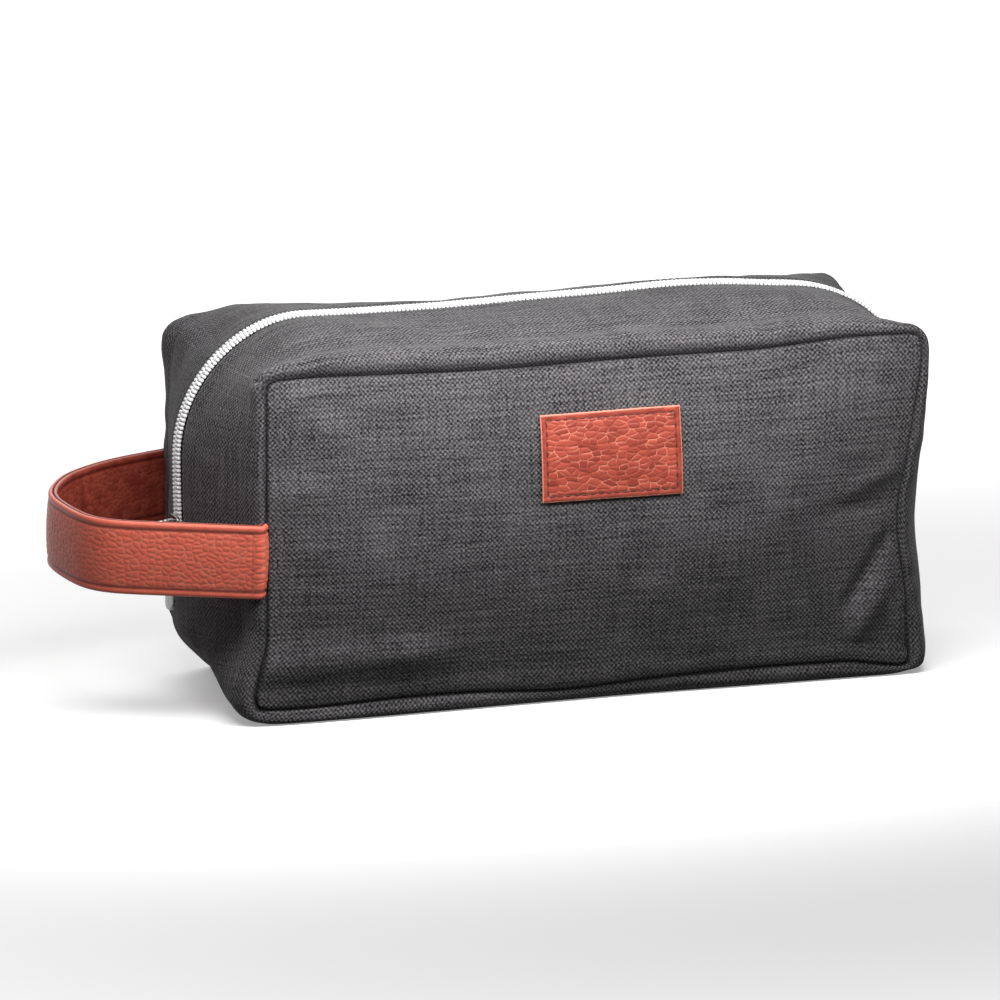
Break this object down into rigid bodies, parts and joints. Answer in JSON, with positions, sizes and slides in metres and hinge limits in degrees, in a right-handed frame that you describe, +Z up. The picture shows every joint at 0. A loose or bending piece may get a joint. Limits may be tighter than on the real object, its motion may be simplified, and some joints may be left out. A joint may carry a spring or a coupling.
{
  "type": "cosmetic bag",
  "caption": "Soft box-shaped toiletry bag in grey fabric, with a coil zip over the top and down both ends, a leather side loop handle and a bare leather label.",
  "frame": {"origin": "middle of the flat base that the bag stands on, half way between the end seams and the front and back seams", "axes": "+Z up, +X along the bag away from the handle, -Y towards the front panel with the label"},
  "size_m": [0.3363, 0.1202, 0.1441],
  "materials": {
    "shell_fabric": "matte two-tone woven polyester",
    "lining_fabric": "smooth thin woven lining",
    "zip_tape": "matte dark woven tape",
    "zip_coil": "pale satin coil",
    "binding_tape": "matte woven binding",
    "leather": "pebbled reddish-brown, satin",
    "leather_thread": "dark red-brown sewing thread",
    "nickel": "polished nickel plate"
  },
  "bodies": {
    "shell": {"front_panel": "shell_fabric", "back_panel": "shell_fabric", "bottom_gusset": "shell_fabric", "front_lining": "lining_fabric", "back_lining": "lining_fabric", "bottom_lining": "lining_fabric", "front_seam_binding": "binding_tape", "back_seam_binding": "binding_tape", "label_patch": "leather", "label_stitching": "leather_thread", "handle_end_front": "leather", "handle_end_back": "leather", "handle_end_stitching": "leather_thread", "zip_gusset_front_left": "shell_fabric", "zip_gusset_front_right": "shell_fabric", "zip_gusset_back_left": "shell_fabric", "zip_gusset_back_right": "shell_fabric", "zip_lining_front_left": "lining_fabric", "zip_lining_front_right": "lining_fabric", "zip_lining_back_left": "lining_fabric", "zip_lining_back_right": "lining_fabric", "zip_tape_front_left": "zip_tape", "zip_tape_front_right": "zip_tape", "zip_tape_back_left": "zip_tape", "zip_tape_back_right": "zip_tape", "zip_coil_front_left": "zip_coil", "zip_coil_front_right": "zip_coil", "zip_coil_back_left": "zip_coil", "zip_coil_back_right": "zip_coil"},
    "mouth_front": {"zip_gusset_front_top": "shell_fabric", "zip_lining_front_top": "lining_fabric", "zip_tape_front_top": "zip_tape", "zip_coil_front_top": "zip_coil"},
    "mouth_back": {"zip_gusset_back_top": "shell_fabric", "zip_lining_back_top": "lining_fabric", "zip_tape_back_top": "zip_tape", "zip_coil_back_top": "zip_coil"},
    "slider": {"slider_body": "nickel"},
    "pull": {"pull_tab": "nickel"},
    "handle": {"handle_outer_layer": "leather", "handle_inner_layer": "leather", "handle_stitching": "leather_thread"}
  },
  "joints": [
    {"name": "mouth_front_swing", "type": "hinge", "parent": "shell", "child": "mouth_front", "pos_m": [0, -0.053, 0.129], "axis": [1, 0, 0], "range_deg": [0, 55]},
    {"name": "mouth_back_swing", "type": "hinge", "parent": "shell", "child": "mouth_back", "pos_m": [0, 0.053, 0.129], "axis": [-1, 0, 0], "range_deg": [0, 55]},
    {"name": "slider_run", "type": "slide", "parent": "shell", "child": "slider", "axis": [0, 0, 1], "range_m": [0, 0.0216]},
    {"name": "pull_tab_swing", "type": "hinge", "parent": "slider", "child": "pull", "pos_m": [-0.148, 0, 0.0671], "axis": [0, 1, 0], "range_deg": [0, 170]},
    {"name": "handle_flex", "type": "hinge", "parent": "shell", "child": "handle", "pos_m": [-0.13775, 0, 0.06569], "axis": [0, 0.9972, 0.075], "range_deg": [-20, 25], "stiffness_Nm_per_rad": 0.3}
  ]
}
